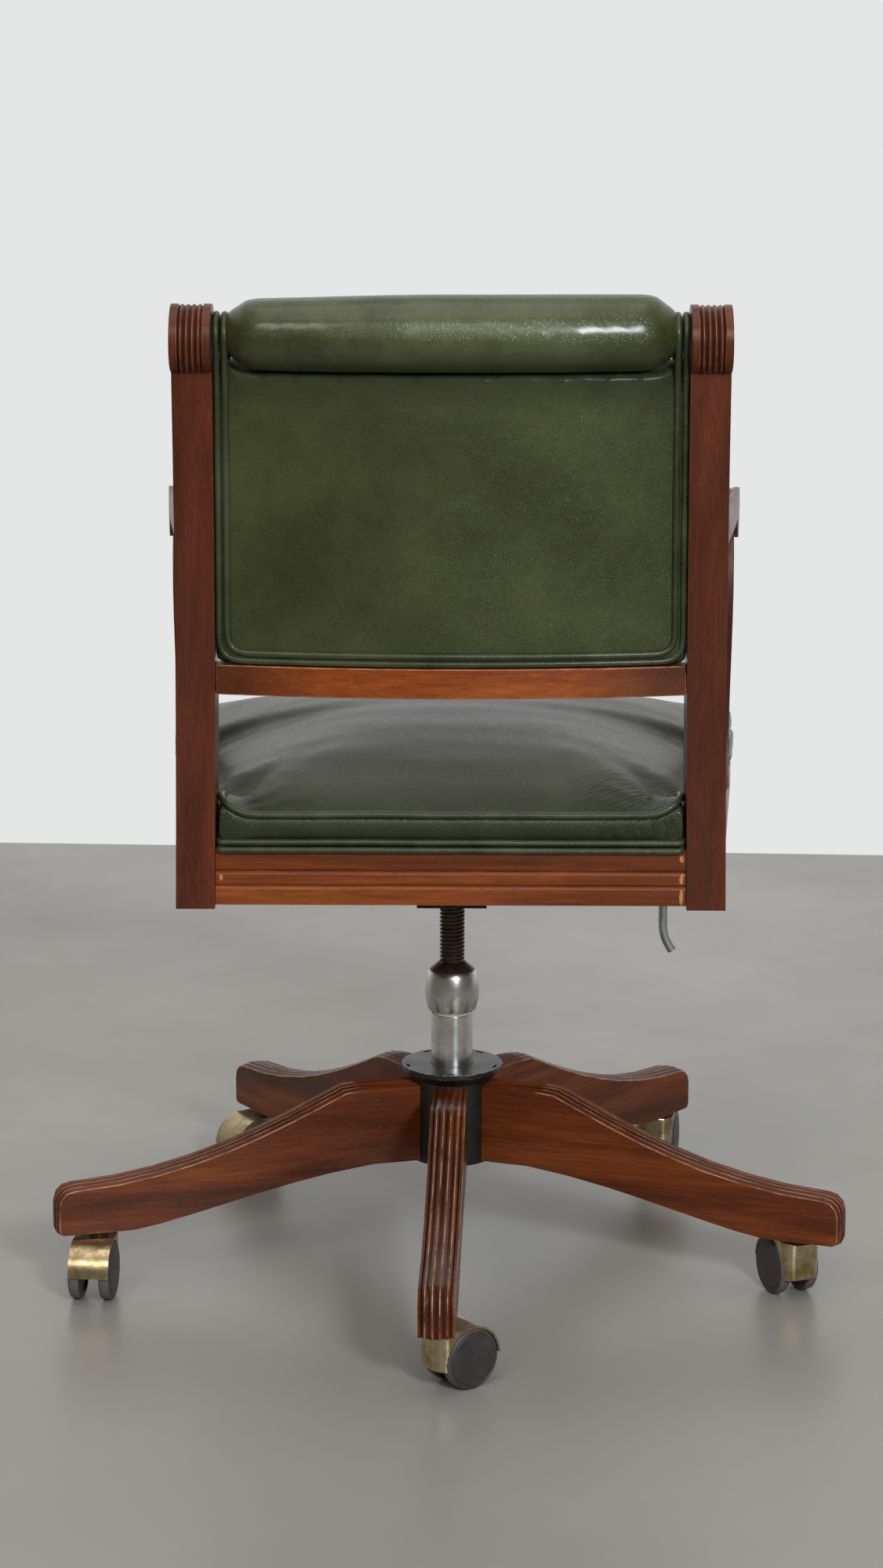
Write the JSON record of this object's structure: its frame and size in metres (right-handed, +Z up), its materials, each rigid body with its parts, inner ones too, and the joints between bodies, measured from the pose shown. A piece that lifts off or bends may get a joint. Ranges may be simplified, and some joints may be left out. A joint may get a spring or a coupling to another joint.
{
  "type": "swivel desk chair",
  "caption": "Wooden swivel desk chair with leather seat and back, reeded star base on casters, screw height adjustment and sprung tilt.",
  "frame": {"origin": "on the floor, under the middle of the chair as it stands with its casters as in the picture", "axes": "+Z up, the seat faces -Y, +X towards the left hand of a person who sits in it"},
  "size_m": [0.6498, 0.63, 0.8254],
  "materials": {
    "mahogany": "polished mahogany, satin",
    "dark_mahogany": "dark polished mahogany, satin",
    "leather": "dark green grained leather, half gloss",
    "brass": "antique brass, worn",
    "dark_plastic": "dark brown-grey hard plastic",
    "black_paint": "black paint, satin",
    "polished_steel": "turned and polished",
    "dark_steel": "dark oiled steel",
    "grey_steel": "grey steel",
    "bearing_plastic": "pale bearing plastic",
    "plywood": "bare light wood"
  },
  "bodies": {
    "base": {"hub": "black_paint", "column_tube": "polished_steel", "leg_1": "mahogany", "leg_2": "mahogany", "leg_3": "mahogany", "leg_4": "mahogany", "leg_5": "mahogany", "caster_stem_1": "grey_steel", "caster_stem_2": "grey_steel", "caster_stem_3": "grey_steel", "caster_stem_4": "grey_steel", "caster_stem_5": "grey_steel"},
    "column": {"swivel_sleeve": "bearing_plastic", "thrust_washer": "polished_steel"},
    "nut": {"height_nut": "polished_steel"},
    "carrier": {"height_spindle": "dark_steel", "tilt_bracket": "dark_steel", "tilt_axle": "grey_steel", "tilt_spring": "grey_steel"},
    "lever": {"tilt_lever": "grey_steel", "lock_pawl": "dark_steel"},
    "seat": {"seat_plate": "dark_steel", "rear_rail": "mahogany", "front_rail": "mahogany", "left_rail": "mahogany", "right_rail": "mahogany", "front_batten": "plywood", "rear_batten": "plywood", "seat_board": "plywood", "seat_cushion": "leather", "left_post": "dark_mahogany", "right_post": "dark_mahogany", "cross_rail": "mahogany", "back_pad": "leather", "top_roll": "leather", "left_arm": "mahogany", "right_arm": "mahogany", "left_arm_support": "mahogany", "right_arm_support": "mahogany"},
    "caster_1": {"caster_hood_1": "brass", "caster_axle_1": "grey_steel"},
    "wheel_1_left": {"wheel_1_left": "dark_plastic"},
    "wheel_1_right": {"wheel_1_right": "dark_plastic"},
    "caster_2": {"caster_hood_2": "brass", "caster_axle_2": "grey_steel"},
    "wheel_2_left": {"wheel_2_left": "dark_plastic"},
    "wheel_2_right": {"wheel_2_right": "dark_plastic"},
    "caster_3": {"caster_hood_3": "brass", "caster_axle_3": "grey_steel"},
    "wheel_3_left": {"wheel_3_left": "dark_plastic"},
    "wheel_3_right": {"wheel_3_right": "dark_plastic"},
    "caster_4": {"caster_hood_4": "brass", "caster_axle_4": "grey_steel"},
    "wheel_4_left": {"wheel_4_left": "dark_plastic"},
    "wheel_4_right": {"wheel_4_right": "dark_plastic"},
    "caster_5": {"caster_hood_5": "brass", "caster_axle_5": "grey_steel"},
    "wheel_5_left": {"wheel_5_left": "dark_plastic"},
    "wheel_5_right": {"wheel_5_right": "dark_plastic"}
  },
  "joints": [
    {"name": "seat_swivel", "type": "hinge", "parent": "base", "child": "column", "pos_m": [0, -0.02517, 0.1706], "axis": [0, 0, 1], "continuous": true},
    {"name": "nut_turn", "type": "hinge", "parent": "column", "child": "nut", "pos_m": [0, -0.02517, 0.2176], "axis": [0, 0, 1], "range_deg": [-3833.2, 6560.5]},
    {"name": "seat_height", "type": "slide", "parent": "column", "child": "carrier", "axis": [0, 0, 1], "range_m": [-0.035, 0.06]},
    {"name": "seat_tilt", "type": "hinge", "parent": "carrier", "child": "seat", "pos_m": [0, -0.02517, 0.3474], "axis": [-1, 0, 0], "range_deg": [0, 12], "stiffness_Nm_per_rad": 120, "springref_deg": -11.46, "deforming": ["tilt_spring"]},
    {"name": "lock_lever", "type": "hinge", "parent": "carrier", "child": "lever", "pos_m": [0, -0.06117, 0.3354], "axis": [1, 0, 0], "range_deg": [0, 30]},
    {"name": "caster_swivel_1", "type": "hinge", "parent": "base", "child": "caster_1", "pos_m": [0.00846, 0.27772, 0.0525], "axis": [0, 0, 1], "continuous": true},
    {"name": "wheel_roll_1_left", "type": "hinge", "parent": "caster_1", "child": "wheel_1_left", "pos_m": [-0.00848, 0.26448, 0.0237], "axis": [0.6157, -0.788, 0], "continuous": true},
    {"name": "wheel_roll_1_right", "type": "hinge", "parent": "caster_1", "child": "wheel_1_right", "pos_m": [-0.00848, 0.26448, 0.0237], "axis": [0.6157, -0.788, 0], "continuous": true},
    {"name": "caster_swivel_2", "type": "hinge", "parent": "base", "child": "caster_2", "pos_m": [-0.28544, 0.07648, 0.0525], "axis": [0, 0, 1], "continuous": true},
    {"name": "wheel_roll_2_left", "type": "hinge", "parent": "caster_2", "child": "wheel_2_left", "pos_m": [-0.27739, 0.05654, 0.0237], "axis": [0.9272, 0.3746, 0], "continuous": true},
    {"name": "wheel_roll_2_right", "type": "hinge", "parent": "caster_2", "child": "wheel_2_right", "pos_m": [-0.27739, 0.05654, 0.0237], "axis": [0.9272, 0.3746, 0], "continuous": true},
    {"name": "caster_swivel_3", "type": "hinge", "parent": "base", "child": "caster_3", "pos_m": [-0.18487, -0.26523, 0.0525], "axis": [0, 0, 1], "continuous": true},
    {"name": "wheel_roll_3_left", "type": "hinge", "parent": "caster_3", "child": "wheel_3_left", "pos_m": [-0.18898, -0.28633, 0.0237], "axis": [0.9816, -0.1908, 0], "continuous": true},
    {"name": "wheel_roll_3_right", "type": "hinge", "parent": "caster_3", "child": "wheel_3_right", "pos_m": [-0.18898, -0.28633, 0.0237], "axis": [0.9816, -0.1908, 0], "continuous": true},
    {"name": "caster_swivel_4", "type": "hinge", "parent": "base", "child": "caster_4", "pos_m": [0.17119, -0.27518, 0.0525], "axis": [0, 0, 1], "continuous": true},
    {"name": "wheel_roll_4_left", "type": "hinge", "parent": "caster_4", "child": "wheel_4_left", "pos_m": [0.18765, -0.26136, 0.0237], "axis": [-0.6428, 0.766, 0], "continuous": true},
    {"name": "wheel_roll_4_right", "type": "hinge", "parent": "caster_4", "child": "wheel_4_right", "pos_m": [0.18765, -0.26136, 0.0237], "axis": [-0.6428, 0.766, 0], "continuous": true},
    {"name": "caster_swivel_5", "type": "hinge", "parent": "base", "child": "caster_5", "pos_m": [0.29067, 0.06038, 0.0525], "axis": [0, 0, 1], "continuous": true},
    {"name": "wheel_roll_5_left", "type": "hinge", "parent": "caster_5", "child": "wheel_5_left", "pos_m": [0.29255, 0.0818, 0.0237], "axis": [-0.9962, 0.0872, 0], "continuous": true},
    {"name": "wheel_roll_5_right", "type": "hinge", "parent": "caster_5", "child": "wheel_5_right", "pos_m": [0.29255, 0.0818, 0.0237], "axis": [-0.9962, 0.0872, 0], "continuous": true}
  ],
  "couplings": [
    {"joint": "nut_turn", "follows": "seat_height", "rad_per_m": 1904}
  ]
}
